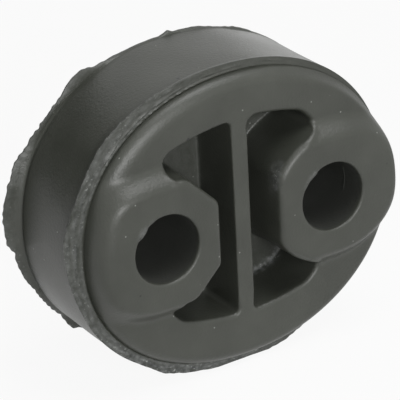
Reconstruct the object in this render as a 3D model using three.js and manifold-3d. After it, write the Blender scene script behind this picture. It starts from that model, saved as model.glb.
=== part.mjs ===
// Exhaust hanger rubber: one solid moulding with two bores for the hanger rods.
//
// Millimetres. X runs along the line through both bores, Y runs from the front
// face to the rear face, Z is up. The moulding stands on its long side, as it
// does on a bench, with Z = 0 at the surface under it.

import * as THREE from "three";
import { mergeVertices, toCreasedNormals } from "three/addons/utils/BufferGeometryUtils.js";
import Module from "manifold-3d";

const wasm = await Module();
wasm.setup();

// Sizes of the moulding.
const DEPTH = 27;                 // front land to rear land, the length of a bore
const BORE_RADIUS = 6;            // grips a 12 mm hanger rod
const BORE_SPACING = 32.4;        // between the two bore lines
const BORE_LEAD = 0.5;            // rounded lead-in at each mouth of a bore
const CAP_HALF_WIDTH = 29.4;      // oval of the front and rear caps
const CAP_HALF_HEIGHT = 25.6;
const CAP_CENTRE_X = 0.2;         // the oval reaches a little further to the right
const OVAL_POWER = 2.11;          // a little fuller than an ellipse
const OVAL_DROP = 0.5;            // the oval's centre lies this far below the bore line
const CAP_ROUND = 1.9;            // soft outer edge of a cap
const LAND_STEP = 2.7;            // the lands stand this far proud of the ring
const LAND_ROUND = 1;             // outer edge of a land
const LAND_HALF_HEIGHT = 11.1;    // flat sides of the bosses, level with the lands' edges
const LAND_REACH = 13.2;          // from a bore's middle to the rounded end of its land
const LAND_POWER = 2.6;           // that end is a little fuller than round
const LAND_SOFTEN = 2.4;          // the land runs down to the ring over this width
const LAND_RISE = 0.25;           // share of that width inside the land's outline
const LEDGE_DEPTH = 4.9;          // from the land to the mould's parting line
const LEDGE_WIDTH = 1.2;          // the side wall stands outside the caps by this much
const SHIFT_X = -1.2;             // the side wall was moulded off centre from the caps
const SHIFT_Z = 0.4;

// The two bosses inside the ring.
const BOSS_TO_MIDDLE = 5.8;       // from the web's middle to a boss's flat end
const BOSS_CHAMFER = 5.5;         // the cut corners of a boss
const BOSS_EDGE = 0.7;            // rounded front edge of a boss
const BOSS_CORNER = 3.5;          // rounded corner between a boss's flats

// The window inside the ring, the web across it and the skin that closes it.
const WEB_THICKNESS = 3.1;
const WEB_EDGE = 0.35;
const WEB_FILLET = 1.5;           // where the web runs into the ring
const WINDOW_HALF_WIDTH = 14.1;
const WINDOW_HALF_HEIGHT = 17.3;
const WINDOW_BOW = 42;            // radius of its top and bottom edges
const WINDOW_CORNER = 2.6;
const WINDOW_LIP = 0.8;           // rounded mouth of the window
const SKIN_THICKNESS = 0.9;       // thin skin left where the two mould cores met

// Flash squeezed out at the two parting lines. It is widest at the left end.
const FLASH_THICKNESS = 0.7;
const FRONT_FLASH_LEFT = 1.2;
const REAR_FLASH_LEFT = 3.4;
const REAR_FLASH_TOP = 0.9;
const FLASH_BELOW = 0.4;          // the moulding rests on both flash lines

// Facet counts.
const OVAL_STEPS = 72;
const BORE_STEPS = 36;
const LAND_STEPS = 12;
const ROUND_STEPS = 3;
const CORNER_STEPS = 4;
const BOW_STEPS = 8;
const SOFT_STEPS = 6;
const WELD = 1e-5;
const LEAST_FILLET = 0.2;         // kept where a changed size leaves less room
const THROUGH = 1;                // a cutter runs past the face it opens by this much

// Sizes that follow from the ones above.
const midDepth = DEPTH / 2;
const wallHalfWidth = CAP_HALF_WIDTH + LEDGE_WIDTH;
const wallHalfHeight = CAP_HALF_HEIGHT + LEDGE_WIDTH;
const wallCentreX = CAP_CENTRE_X + SHIFT_X;
const wallCentreZ = SHIFT_Z - OVAL_DROP;

const toManifold = (geometry) => {
  geometry.deleteAttribute("normal");
  geometry.deleteAttribute("uv");
  const merged = mergeVertices(geometry, WELD);
  return new wasm.Manifold(new wasm.Mesh({
    numProp: 3,
    vertProperties: new Float32Array(merged.attributes.position.array),
    triVerts: new Uint32Array(merged.index.array),
  }));
};

const toGeometry = (solid) => {
  const mesh = solid.getMesh();
  const geometry = new THREE.BufferGeometry();
  geometry.setAttribute("position", new THREE.BufferAttribute(new Float32Array(mesh.vertProperties), 3));
  geometry.setIndex(new THREE.BufferAttribute(new Uint32Array(mesh.triVerts), 1));
  return geometry;
};

// A sine or cosine bent so that the curve it draws is fuller than an ellipse.
const bend = (value, power) => Math.sign(value) * Math.abs(value) ** (2 / power);

// An oval outline, centred at (centreX, centreZ) in the front view.
const ovalShape = (halfWidth, halfHeight, centreX, centreZ) => {
  const points = [];
  for (let i = 0; i < OVAL_STEPS; i += 1) {
    const angle = (2 * Math.PI * i) / OVAL_STEPS;
    points.push(new THREE.Vector2(
      centreX + halfWidth * bend(Math.cos(angle), OVAL_POWER),
      centreZ + halfHeight * bend(Math.sin(angle), OVAL_POWER),
    ));
  }
  return new THREE.Shape(points);
};

// A closed outline of straight sides whose corners are all rounded to one radius.
const roundedShape = (corners, radius) => {
  const points = corners.flatMap(([x, z], i) => {
    const here = new THREE.Vector2(x, z);
    const before = new THREE.Vector2(...corners.at(i - 1)).sub(here).normalize();
    const after = new THREE.Vector2(...corners[(i + 1) % corners.length]).sub(here).normalize();
    const halfAngle = Math.acos(before.dot(after)) / 2;
    const inward = before.clone().add(after).normalize();
    const centre = here.clone().addScaledVector(inward, radius / Math.sin(halfAngle));
    const turn = Math.PI / 2 - halfAngle;
    const towards = inward.negate();
    const side = Math.sign(before.cross(after)) || 1;
    return Array.from({ length: CORNER_STEPS + 1 }, (_, step) => {
      const angle = -side * turn * ((2 * step) / CORNER_STEPS - 1);
      const spoke = towards.clone().rotateAround(new THREE.Vector2(), angle);
      return centre.clone().addScaledVector(spoke, radius);
    });
  });
  return new THREE.Shape(points);
};

// Carries an outline from yFront to yRear, with both end edges rounded inwards.
const carry = (shape, yFront, yRear, round = 0) => {
  const geometry = new THREE.ExtrudeGeometry(shape, {
    depth: yRear - yFront - 2 * round,
    curveSegments: CORNER_STEPS,
    bevelEnabled: round > 0,
    bevelSize: round,
    bevelThickness: round,
    bevelOffset: -round,
    bevelSegments: ROUND_STEPS,
  });
  geometry.rotateX(Math.PI / 2);
  geometry.translate(0, yRear - round, 0);
  return toManifold(geometry);
};

// Joins equal rings of [x, y, z] points, one behind the other, into one closed solid.
const skinRings = (rings) => {
  const count = rings[0].length;
  const positions = rings.flatMap((ring) => ring.flat());
  const cap = THREE.ShapeUtils.triangulateShape(rings[0].map(([x, , z]) => new THREE.Vector2(x, z)), []);
  const faces = cap.flatMap(([a, b, c]) => [a, b, c]);
  for (let ring = 1; ring < rings.length; ring += 1) {
    for (let i = 0; i < count; i += 1) {
      const next = (i + 1) % count;
      const [front, back] = [(ring - 1) * count, ring * count];
      faces.push(front + i, back + i, back + next, front + i, back + next, front + next);
    }
  }
  const last = (rings.length - 1) * count;
  faces.push(...cap.flatMap(([a, b, c]) => [last + a, last + c, last + b]));
  const geometry = new THREE.BufferGeometry();
  geometry.setAttribute("position", new THREE.Float32BufferAttribute(positions, 3));
  geometry.setIndex(faces);
  return toManifold(geometry);
};

// The ring: its caps, the soft lands across both ends, the side wall and the flash.
const capOval = ovalShape(CAP_HALF_WIDTH, CAP_HALF_HEIGHT, CAP_CENTRE_X, -OVAL_DROP);
const caps = carry(capOval, LAND_STEP, DEPTH - LAND_STEP, CAP_ROUND);
const landOval = carry(capOval, 0, DEPTH, LAND_ROUND);

// The lands' outline in the front view: a straight band with a full round end about each bore.
const landOutline = (grow) => {
  const end = [];
  for (let i = 0; i <= LAND_STEPS; i += 1) {
    const angle = Math.PI * (i / LAND_STEPS - 0.5);
    end.push([
      BORE_SPACING / 2 + (LAND_REACH + grow) * bend(Math.cos(angle), LAND_POWER),
      (LAND_HALF_HEIGHT + grow) * bend(Math.sin(angle), LAND_POWER),
    ]);
  }
  return [...end, ...end.map(([x, z]) => [-x, -z])];
};

// The lands run down to the ring in a soft S, so each ring of the skin is a little wider.
const landBlock = () => {
  const front = [];
  for (let i = 0; i <= SOFT_STEPS; i += 1) {
    const t = i / SOFT_STEPS;
    front.push([LAND_SOFTEN * (t - LAND_RISE), (LAND_STEP * (1 - Math.cos(Math.PI * t))) / 2]);
  }
  const rear = front.map(([grow, y]) => [grow, DEPTH - y]).reverse();
  return skinRings([...front, ...rear].map(([grow, y]) => landOutline(grow).map(([x, z]) => [x, y, z])));
};
const lands = landOval.intersect(landBlock());

const wallOval = ovalShape(wallHalfWidth, wallHalfHeight, wallCentreX, wallCentreZ);
const wall = carry(wallOval, LEDGE_DEPTH, DEPTH - LEDGE_DEPTH);

// A flash lip is an oval that stands out at the left, the top and below, and is flush at the right.
const flashOval = (left, top) => ovalShape(
  wallHalfWidth + left / 2,
  wallHalfHeight + (top + FLASH_BELOW) / 2,
  wallCentreX - left / 2,
  wallCentreZ + (top - FLASH_BELOW) / 2,
);
const frontFlash = carry(flashOval(FRONT_FLASH_LEFT, 0), LEDGE_DEPTH, LEDGE_DEPTH + FLASH_THICKNESS);
const rearFlash = carry(
  flashOval(REAR_FLASH_LEFT, REAR_FLASH_TOP),
  DEPTH - LEDGE_DEPTH - FLASH_THICKNESS,
  DEPTH - LEDGE_DEPTH,
);

// The window through the ring: bowed top and bottom edges, rounded corners, and a
// fillet down to the flat side of the boss. Between the fillets the boss covers its end.
const windowShape = (grow) => {
  const halfWidth = WINDOW_HALF_WIDTH + grow;
  const corner = WINDOW_CORNER + grow;
  const bow = WINDOW_BOW + grow;
  const bowCentre = WINDOW_HALF_HEIGHT - WINDOW_BOW;
  const cornerX = halfWidth - corner;
  const cornerZ = bowCentre + Math.sqrt((bow - corner) ** 2 - cornerX ** 2);
  const lean = Math.atan2(cornerX, cornerZ - bowCentre);
  const fillet = Math.max(cornerZ - LAND_HALF_HEIGHT, LEAST_FILLET);
  const quarter = [];
  for (let i = 0; i < CORNER_STEPS; i += 1) {
    const angle = (Math.PI / 2) * (i / CORNER_STEPS - 1);
    quarter.push([
      WINDOW_HALF_WIDTH - fillet + (fillet + grow) * Math.cos(angle),
      cornerZ + (fillet + grow) * Math.sin(angle),
    ]);
  }
  for (let i = 0; i <= CORNER_STEPS; i += 1) {
    const angle = ((Math.PI / 2 - lean) * i) / CORNER_STEPS;
    quarter.push([cornerX + corner * Math.cos(angle), cornerZ + corner * Math.sin(angle)]);
  }
  for (let i = 1; i <= BOW_STEPS; i += 1) {
    const angle = lean * (1 - i / BOW_STEPS);
    quarter.push([bow * Math.sin(angle), bowCentre + bow * Math.cos(angle)]);
  }
  const left = quarter.slice(0, -1).map(([x, z]) => [-x, z]).reverse();
  const upper = [...quarter, ...left];
  const lower = upper.map(([x, z]) => [-x, -z]);
  return [...upper, ...lower].map(([x, z]) => new THREE.Vector2(x, z));
};

// The window cutter is wide outside the ring's face and draws in round the rounded mouth.
const windowCutter = () => {
  const mouth = [];
  for (let i = 0; i <= ROUND_STEPS; i += 1) {
    const angle = (Math.PI / 2) * (i / ROUND_STEPS);
    mouth.push([WINDOW_LIP * (1 - Math.sin(angle)), LAND_STEP + WINDOW_LIP * (1 - Math.cos(angle))]);
  }
  const front = [[WINDOW_LIP, -THROUGH], ...mouth];
  const rear = front.map(([grow, y]) => [grow, DEPTH - y]).reverse();
  return skinRings([...front, ...rear].map(([grow, y]) => windowShape(grow).map((p) => [p.x, y, p.y])));
};

const ring = caps.add(lands).add(wall).add(frontFlash).add(rearFlash).subtract(windowCutter());

// A boss has two cut corners towards the web. Its other end is buried in the land.
const bossShape = (side) => {
  const inner = side * BOSS_TO_MIDDLE;
  const shoulder = side * (BOSS_TO_MIDDLE + BOSS_CHAMFER);
  const outer = side * (WINDOW_HALF_WIDTH + WINDOW_LIP + BOSS_CORNER);
  const flat = LAND_HALF_HEIGHT - BOSS_CHAMFER;
  const corners = [
    [outer, -LAND_HALF_HEIGHT],
    [outer, LAND_HALF_HEIGHT],
    [shoulder, LAND_HALF_HEIGHT],
    [inner, flat],
    [inner, -flat],
    [shoulder, -LAND_HALF_HEIGHT],
  ];
  return roundedShape(side > 0 ? corners : corners.reverse(), BOSS_CORNER);
};
const boss = (side) => carry(bossShape(side), 0, DEPTH, BOSS_EDGE);

// The web stands in the middle of the window, with a fillet where it meets the ring.
const webShape = () => {
  const half = WEB_THICKNESS / 2;
  const foot = half + WEB_FILLET;
  const knee = WINDOW_HALF_HEIGHT - WEB_FILLET;
  const end = WINDOW_HALF_HEIGHT + WINDOW_LIP;
  const shape = new THREE.Shape();
  shape.moveTo(half, -knee);
  shape.lineTo(half, knee);
  shape.quadraticCurveTo(half, WINDOW_HALF_HEIGHT, foot, WINDOW_HALF_HEIGHT);
  shape.lineTo(foot, end);
  shape.lineTo(-foot, end);
  shape.lineTo(-foot, WINDOW_HALF_HEIGHT);
  shape.quadraticCurveTo(-half, WINDOW_HALF_HEIGHT, -half, knee);
  shape.lineTo(-half, -knee);
  shape.quadraticCurveTo(-half, -WINDOW_HALF_HEIGHT, -foot, -WINDOW_HALF_HEIGHT);
  shape.lineTo(-foot, -end);
  shape.lineTo(foot, -end);
  shape.lineTo(foot, -WINDOW_HALF_HEIGHT);
  shape.quadraticCurveTo(half, -WINDOW_HALF_HEIGHT, half, -knee);
  return shape;
};
const web = carry(webShape(), LAND_STEP, DEPTH - LAND_STEP, WEB_EDGE);

// The skin closes the window at mid depth, where the two cores of the mould met.
const skin = carry(
  new THREE.Shape(windowShape(WINDOW_LIP)),
  midDepth - SKIN_THICKNESS / 2,
  midDepth + SKIN_THICKNESS / 2,
);

// A bore with a rounded lead-in at each mouth, turned about Y.
const bore = (x) => {
  const half = [];
  for (let i = 0; i <= ROUND_STEPS; i += 1) {
    const angle = (Math.PI / 2) * (i / ROUND_STEPS);
    half.push([BORE_RADIUS + BORE_LEAD * (1 - Math.sin(angle)), BORE_LEAD * (1 - Math.cos(angle))]);
  }
  const mouth = [[BORE_RADIUS + BORE_LEAD, -THROUGH], ...half];
  const far = mouth.map(([r, y]) => [r, DEPTH - y]).reverse();
  const profile = [[0, -THROUGH], ...mouth, ...far, [0, DEPTH + THROUGH]];
  const geometry = new THREE.LatheGeometry(profile.map(([r, y]) => new THREE.Vector2(r, y)), BORE_STEPS);
  geometry.translate(x, 0, 0);
  return toManifold(geometry);
};

const body = [-1, 1].reduce(
  (solid, side) => solid.add(boss(side)).subtract(bore((side * BORE_SPACING) / 2)),
  ring.add(web).add(skin),
);

// Stands the moulding on Z = 0 with its box centred over the origin.
const geometry = toGeometry(body);
geometry.computeBoundingBox();
const { min, max } = geometry.boundingBox;
geometry.translate(-(min.x + max.x) / 2, -midDepth, -min.z);

const rubber = new THREE.MeshStandardMaterial({ color: 0x3c3e3a, roughness: 0.72, metalness: 0 });
const hangerRubber = new THREE.Mesh(toCreasedNormals(geometry, Math.PI / 6), rubber);
hangerRubber.name = "hanger_rubber";

const group = new THREE.Group();
group.name = "exhaust_hanger_rubber";
group.add(hangerRubber);

export default group;
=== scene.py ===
# %% [markdown]
# # Exhaust hanger rubber
#
# An exhaust pipe hangs under a car on blocks of rubber like this one. One bore takes a rod of the
# car's floor and the other takes a rod of the pipe, so the block carries the pipe and soaks up its
# shaking. It is one moulding of black EPDM rubber. It was pressed in a mould of three plates, so it
# has two parting lines round its side, and the mould's cores left two C-shaped pockets in each face.
#
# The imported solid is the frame: it gives the place and the outer size. The rubber below is made
# again with its thin torn flash, its soft run-downs and its small mould marks, and it stands for
# that solid.

import math

import bpy
import numpy as np
from mathutils import Matrix, Vector
from mathutils.geometry import delaunay_2d_cdt


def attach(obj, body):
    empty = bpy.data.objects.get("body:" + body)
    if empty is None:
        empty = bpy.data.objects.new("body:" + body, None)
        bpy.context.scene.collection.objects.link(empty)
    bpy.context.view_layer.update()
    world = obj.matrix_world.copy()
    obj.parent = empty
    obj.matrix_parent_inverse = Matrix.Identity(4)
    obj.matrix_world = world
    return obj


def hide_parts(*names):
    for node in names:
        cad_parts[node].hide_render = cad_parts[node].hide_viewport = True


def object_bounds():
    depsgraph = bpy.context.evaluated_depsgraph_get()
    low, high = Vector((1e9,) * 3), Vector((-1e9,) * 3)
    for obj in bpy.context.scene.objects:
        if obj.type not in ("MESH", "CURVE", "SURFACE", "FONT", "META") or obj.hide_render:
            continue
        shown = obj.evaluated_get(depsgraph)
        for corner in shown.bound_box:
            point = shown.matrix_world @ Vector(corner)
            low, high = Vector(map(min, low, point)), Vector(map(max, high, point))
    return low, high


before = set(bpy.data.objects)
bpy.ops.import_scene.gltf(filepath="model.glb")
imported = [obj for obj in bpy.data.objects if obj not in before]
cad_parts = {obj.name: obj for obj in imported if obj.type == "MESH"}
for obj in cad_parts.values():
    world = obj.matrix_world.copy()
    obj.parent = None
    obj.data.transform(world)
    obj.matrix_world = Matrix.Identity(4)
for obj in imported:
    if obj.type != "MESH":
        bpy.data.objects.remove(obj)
cad_low, cad_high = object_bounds()
print("CAD box in mm:", [round(1000 * v, 1) for v in (*cad_low, *cad_high)])

# %% [markdown]
# ## Where the rubber is
#
# All shapes are worked out in millimetres in the mould's own frame, as its maker would draw it: X
# runs along the line through both bores and is 0 in the middle of the web, Z is 0 on that line, and
# Y is 0 on the front lands and grows towards the rear. The last step moves the points into the
# frame and turns them into metres. The right end of the caps touches the box's right side, which
# gives the shift along X.

# %% Main sizes, in millimetres
MM = 0.001
DEPTH = 27.0
CAP_HALF = np.array([29.4, 25.6])
CAP_CENTRE = np.array([0.2, -0.5])
WALL_HALF = np.array([30.6, 26.8])
WALL_CENTRE = np.array([-1.0, -0.1])
OVAL_POWER = 2.11
RING_LEVEL = 2.7
PARTING_LEVEL = 4.9
FLASH_BELOW = 0.4
place = np.array([
    cad_high.x / MM - CAP_HALF[0] - CAP_CENTRE[0],
    -DEPTH / 2,
    cad_low.z / MM + WALL_HALF[1] - WALL_CENTRE[1] + FLASH_BELOW,
])
print("The mould frame's origin lies at", place.round(2), "mm")

# %% [markdown]
# ## Ragged lines and uneven surfaces
#
# Flash tears off by hand, so its edge wanders, and a moulded wall is never quite flat. Both can be
# made from a sum of waves with seeded random directions and phases. Such a sum gives the same
# result on each run, has no seam on a closed line when the waves go round a whole number of times,
# and works on whole arrays.

# %% Waves for uneven shapes
def ragged(angle, seed, lowest, highest):
    """A sum of sines of whole-number frequencies round the oval, each with a random phase, scaled to about -1 to 1."""
    rng = np.random.default_rng(seed)
    turns = np.arange(lowest, highest + 1)
    phase = rng.uniform(0, 2 * np.pi, len(turns))
    waves = np.sin(np.outer(np.ravel(angle), turns) + phase)
    return (waves.sum(1) / math.sqrt(len(turns))).reshape(np.shape(angle))


def lumps(points, seed, size, count=24):
    """A sum of plane waves whose length is about size, in random directions, scaled to about -1 to 1."""
    rng = np.random.default_rng(seed)
    heading = rng.normal(size=(count, 3))
    heading /= np.linalg.norm(heading, axis=1)[:, None]
    pitch = 2 * np.pi / (size * rng.uniform(0.75, 1.5, count))
    phase = rng.uniform(0, 2 * np.pi, count)
    return np.sin(points @ (heading * pitch[:, None]).T + phase).sum(-1) / math.sqrt(count)


def smooth_step(value, start, end):
    """0 before start, 1 after end, and 3t squared minus 2t cubed between them."""
    t = np.clip((value - start) / (end - start), 0, 1)
    return t * t * (3 - 2 * t)


print("A seeded wave starts at", round(float(ragged(0.0, 1, 3, 9)), 3), "on every run")

# %% [markdown]
# ## The outlines
#
# Seen from the front, the moulding is an oval that is a little fuller than an ellipse, which is a
# superellipse of a power just above 2. The caps and the side wall are two such ovals. The wall's
# plate of the mould sat 1.2 mm to the left, so the step between them is wide at the left and
# vanishes at the right.

# %% Ovals and their outward directions
def oval(angle, half, centre):
    """Each of x and z is its centre plus half times the cosine or sine, raised to the power 2/p with its sign kept."""
    turn = np.stack([np.cos(angle), np.sin(angle)], -1)
    return centre + half * np.sign(turn) * np.abs(turn) ** (2 / OVAL_POWER)


def oval_outward(points, half, centre):
    """The direction in which the superellipse's own equation grows fastest, at length 1."""
    rel = (points - centre) / half
    slope = np.sign(rel) * np.abs(rel) ** (OVAL_POWER - 1) / half
    return slope / np.linalg.norm(slope, axis=-1, keepdims=True)


def beside(points, step):
    """Moves each point of a closed outline, which runs counterclockwise, to its outer side by step."""
    along = np.roll(points, -1, 0) - np.roll(points, 1, 0)
    along /= np.linalg.norm(along, axis=1)[:, None]
    return points + np.stack([along[:, 1], -along[:, 0]], 1) * np.reshape(step, (-1, 1))


overhang = WALL_HALF[0] - CAP_HALF[0] + (CAP_CENTRE[0] - WALL_CENTRE[0]) * np.array([1, -1])
print("The wall stands out", overhang.round(1), "mm past the caps at the left and the right end")

# %% [markdown]
# ## The front's height
#
# The lands round the bores stand 2.7 mm proud, so that only they touch the washer on the rod. Their
# outline is a straight band between the bores and a full round end outside them, and it runs down
# to the ring in a soft S. The web stays at the ring's level. Height is a function of the place on
# the face alone, so the rim, the face and the pockets' mouths can all ask it and meet without a gap.

# %% Height of the front face
BORE_HALF_SPACING = 16.2
LAND_HALF_HEIGHT = 11.1
# How far the lands reach beyond the bores' middles, and the power of each quarter of their ends.
LEFT_REACH, RIGHT_REACH = 12.6, 13.5
UPPER_LEFT, LOWER_LEFT, UPPER_RIGHT, LOWER_RIGHT = 2.8, 2.4, 2.7, 2.2
# Width of the run-down, and how far inside the outline it starts. At the left end both grow.
RUN_DOWN, LEFT_START, RIGHT_START = 3.6, 0.95, 1.2
LEFT_END_WIDER, LEFT_END_EARLIER = 0.5, 0.25
# Half the width of the strip along the web that stays at the ring's level.
WEB_ZONE = 3.65


def beyond_land(xz):
    """How far outside the lands' outline: the distance from the bores' line, times 1 less 1 over the ratio."""
    x, z = xz[..., 0], xz[..., 1]
    right, upper = x > 0, z > 0
    out_x = np.maximum(np.abs(x) - BORE_HALF_SPACING, 0)
    power = np.select([~right & upper, ~right, upper], [UPPER_LEFT, LOWER_LEFT, UPPER_RIGHT], LOWER_RIGHT)
    reach = np.where(right, RIGHT_REACH, LEFT_REACH)
    ratio = ((out_x / reach) ** power + (np.abs(z) / LAND_HALF_HEIGHT) ** power) ** (1 / power)
    return np.hypot(out_x, z) * (1 - 1 / np.maximum(ratio, 0.01))


def level(xz):
    """Depth of the front face: half the ring's depth, times 1 less the cosine of a half turn over the run-down."""
    x = xz[..., 0]
    left_end = smooth_step(-x - BORE_HALF_SPACING, 1.0, 10.0)
    width = RUN_DOWN + LEFT_END_WIDER * left_end
    start = np.where(x > 0, RIGHT_START, LEFT_START) + LEFT_END_EARLIER * left_end
    t = np.clip((beyond_land(xz) + start) / width, 0, 1)
    ring = RING_LEVEL * (1 - np.cos(np.pi * t)) / 2
    return np.where(np.abs(x) < WEB_ZONE, RING_LEVEL, ring)


print("Depth on a land, the ring and the web:", level(np.array([[24.0, 0], [10, 20], [0, 0]])), "mm")

# %% [markdown]
# ## Gathering one closed surface
#
# The moulding is one piece of rubber, so it becomes one closed mesh. The surfaces are grids and
# fills whose edge points are shared by number. A small gatherer keeps the points, the faces, and
# for each point how torn the rubber is there, which also carries painted highlight, and how dull it
# is, which also carries painted shade; the material reads both later.

# %% Gatherer for points and faces
class Moulding:
    """Numbered points, how torn each one is with its painted highlight, how dull it is with its painted shade, and the
    faces between them.
    """

    def __init__(self):
        self.points, self.torn, self.dull, self.faces, self.count = [], [], [], [], 0

    def add(self, xz, y, torn=0.0, dull=0.0):
        """Adds points and gives their numbers back in the shape of the grid."""
        shape = np.shape(xz)[:-1]
        y = np.broadcast_to(y, shape)
        self.points.append(np.stack([xz[..., 0], y, xz[..., 1]], -1).reshape(-1, 3))
        self.torn.append(np.broadcast_to(torn, shape).ravel())
        self.dull.append(np.broadcast_to(dull, shape).ravel())
        first, self.count = self.count, self.count + int(np.prod(shape))
        return np.arange(first, self.count).reshape(shape)

    def skin(self, rows, outward):
        """Joins neighbouring rows of a grid that closes on itself with four-sided faces."""
        here, ahead = rows, np.roll(rows, -1, 1)
        corners = [here[:-1], here[1:], ahead[1:], ahead[:-1]]
        faces = np.stack(corners if outward else corners[::-1], -1).reshape(-1, 4)
        self.faces.append(faces)


rubber = Moulding()
print("The gatherer is ready and holds", rubber.count, "points")

# %% [markdown]
# ## Flash at the parting lines
#
# Where two mould plates meet, a thin sheet of rubber squeezes out and is torn off later. The front
# line kept up to 1.2 mm of it at the left, and less at the upper left and along the bottom. The rear
# line kept a fin of up to 2.9 mm at the left, and short shreds on top and at the lower left. The
# widths are given at a few places round the oval, counted in degrees from the right end over the
# top, and waves between them make the torn edge.

# %% Flash widths round the oval
FRONT_FLASH = [
    (92, 0), (101, 0.1), (111, 0.3), (120, 0.55), (128, 0.75), (139, 0.75), (148, 0.5), (156, 0.4),
    (164, 0.7), (172, 1.2), (177, 1.0), (182, 0.67), (190, 0.3), (199, 0.05), (232, 0.05), (238, 0.3),
    (243, 0.75), (247, 0.7), (254, 0.5), (262, 0.56), (270, 0.45), (276, 0.75), (286, 0.9), (292, 0.6),
    (300, 0),
]
REAR_FLASH = [
    (56, 0), (65, 0.27), (73, 0.02), (82, 0.33), (87, 0.2), (90, 0.6), (93, 0.03), (104, 0.02),
    (112, 0.3), (117, 0.8), (120, 1.7), (124, 1.7), (128, 1.2), (132, 0.8), (145, 1.0), (153, 1.35),
    (158, 2.1), (163, 2.2), (168, 2.6), (174, 2.9), (180, 2.5), (184, 2.4), (186.5, 1.4), (192, 1.3),
    (198, 1.1), (204, 0.6), (214, 0.5), (220, 0.4), (223, 0.8), (227, 1.3), (230, 0.6), (234, 0.2),
    (255, 0.35), (275, 0.35), (290, 0.02),
]
# No flash is narrower than the first, and from the second on it is torn at full strength.
LEAST_FLASH, FULL_TEAR = 0.06, 0.7
ROUND = 640
angle = np.arange(ROUND) * 2 * np.pi / ROUND


def flash_width(widths, tear, seed):
    """Straight lines between the given widths, plus waves up to tear, which fade where it is narrow."""
    at, width = np.array(widths).T
    base = np.interp(np.degrees(angle), at, width, left=0, right=0)
    fray = tear * np.clip(base / FULL_TEAR, 0, 1) * ragged(angle, seed, 30, 150)
    return np.maximum(base + fray, LEAST_FLASH)


front_flash = flash_width(FRONT_FLASH, 0.06, 11)
rear_flash = flash_width(REAR_FLASH, 0.12, 12)
print("Flash stands out up to", round(float(front_flash.max()), 2), "mm in front and",
      round(float(rear_flash.max()), 2), "mm behind")

# %% [markdown]
# ## The rim: the caps' edge
#
# The rim is one profile carried round the oval, from the front face over the cap's soft edge, down
# into the crease, out along the torn ledge, round the flash, along the side wall, and the same way
# back at the rear. Both ends of the profile are left open, because the two faces close them. The
# cap's edge is a quarter ellipse. It is broad at the left and narrow at the right, and at the upper
# right it becomes a soft S.

# %% Cap edge
CAP_ROUND, WIDER_LEFT, NARROWER_RIGHT = 1.9, 1.9, 1.3
# Steps of the ellipse, its depth as a share of its reach, and the S's largest share.
ROLL_STEPS, ROLL_DEPTH, SOFTEST = 7, 1.15, 0.9
# The least height of the upright side below the ellipse, how far that side dips into the crease, and
# how far the whole edge keeps inside the cap's size.
LEAST_SIDE, CREASE_SINK, CAP_CLEAR = 0.12, 0.02, 0.08


def bell(at, wide):
    """1 at the given degrees round the oval, falling off as a Gaussian."""
    away = (np.degrees(angle) - at + 180) % 360 - 180
    return np.exp(-((away / wide) ** 2))


def cap_rows():
    """Rows of a quarter ellipse from the face outwards, mixed with an S, and three more rows down to the crease."""
    cap = oval(angle, CAP_HALF - CAP_CLEAR, CAP_CENTRE)
    out = oval_outward(cap, CAP_HALF, CAP_CENTRE)
    reach = CAP_ROUND + WIDER_LEFT * bell(165, 60) - NARROWER_RIGHT * bell(0, 40)
    drop = np.minimum(ROLL_DEPTH * reach, PARTING_LEVEL - LEAST_SIDE - level(cap))
    turn = np.linspace(0, np.pi / 2, ROLL_STEPS + 1)[:, None]
    roll_xz = cap - (reach[:, None] * out) * (1 - np.sin(turn))[..., None]
    soft = SOFTEST * bell(48, 30)
    fall = (1 - soft) * (1 - np.cos(turn)) + soft * smooth_step(np.sin(turn), 0, 1)
    roll_y = level(roll_xz) + drop * fall
    down = np.array([0.35, 0.7, 1.0])[:, None]
    side_y = roll_y[-1] + down * (PARTING_LEVEL + CREASE_SINK - roll_y[-1])
    side_xz = np.broadcast_to(cap, (len(down), ROUND, 2))
    return np.concatenate([roll_xz, side_xz]), np.concatenate([roll_y, side_y])


cap_xz, cap_y = cap_rows()
print("Cap edge:", len(cap_y), "rows of", ROUND, "points")

# %% [markdown]
# ## The torn ledge
#
# Between the cap and the side wall lies the ledge of the parting line, and the flash is its outer
# part. Where the flash was pulled off, the ledge is rough, dull and pale, with streaks along it and
# small blobs. By the crease it has two thin beads, which the gap between the plates left. All of
# them are heights on the same rows of points, and the same values say how torn each point is. The
# tops of the beads get the pale torn finish too, as a painted highlight.

# %% Ledge beads, streaks and edge
LEDGE_ROWS = 16
# These lists hold degrees round the oval and a share from 0 to 1.
TORN_SHARE = [
    (62, 0.0), (100, 0.15), (125, 0.4), (150, 0.45), (180, 0.45), (208, 0.5), (224, 1.0), (256, 1.0),
    (272, 0.6), (292, 0.15), (305, 0.0),
]
FIRST_BEAD = [
    (0, 0.0), (75, 0.1), (100, 1.0), (148, 1.0), (160, 0.3), (176, 0.3), (184, 1.0), (270, 0.8),
    (320, 0.0), (360, 0.0),
]
SECOND_BEAD = [(62, 0.0), (100, 0.25), (118, 1.0), (150, 0.9), (165, 0.3), (185, 0.0), (360, 0.0)]
FIRST_AT, FIRST_HEIGHT = 0.3, 0.22
SECOND_AT, SECOND_HEIGHT = 0.85, 0.26
BEAD_HALF_WIDTH = 0.16
# The flash keeps clear of the box's ends and of the surface under the part.
BOX_CLEAR = 0.02
FARTHEST_LEFT = cad_low.x / MM - place[0] + BOX_CLEAR
FARTHEST_RIGHT = CAP_CENTRE[0] + CAP_HALF[0] - BOX_CLEAR
LOWEST = WALL_CENTRE[1] - WALL_HALF[1] - FLASH_BELOW


def round_oval(table):
    """Straight lines between the given shares, at every angle of the rim."""
    return np.interp(np.degrees(angle), *np.transpose(table))


def ridge(reach, at):
    """1 on a line along the crease, falling off as a Gaussian on both sides."""
    return np.exp(-(((reach - at) / BEAD_HALF_WIDTH) ** 2))


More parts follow.
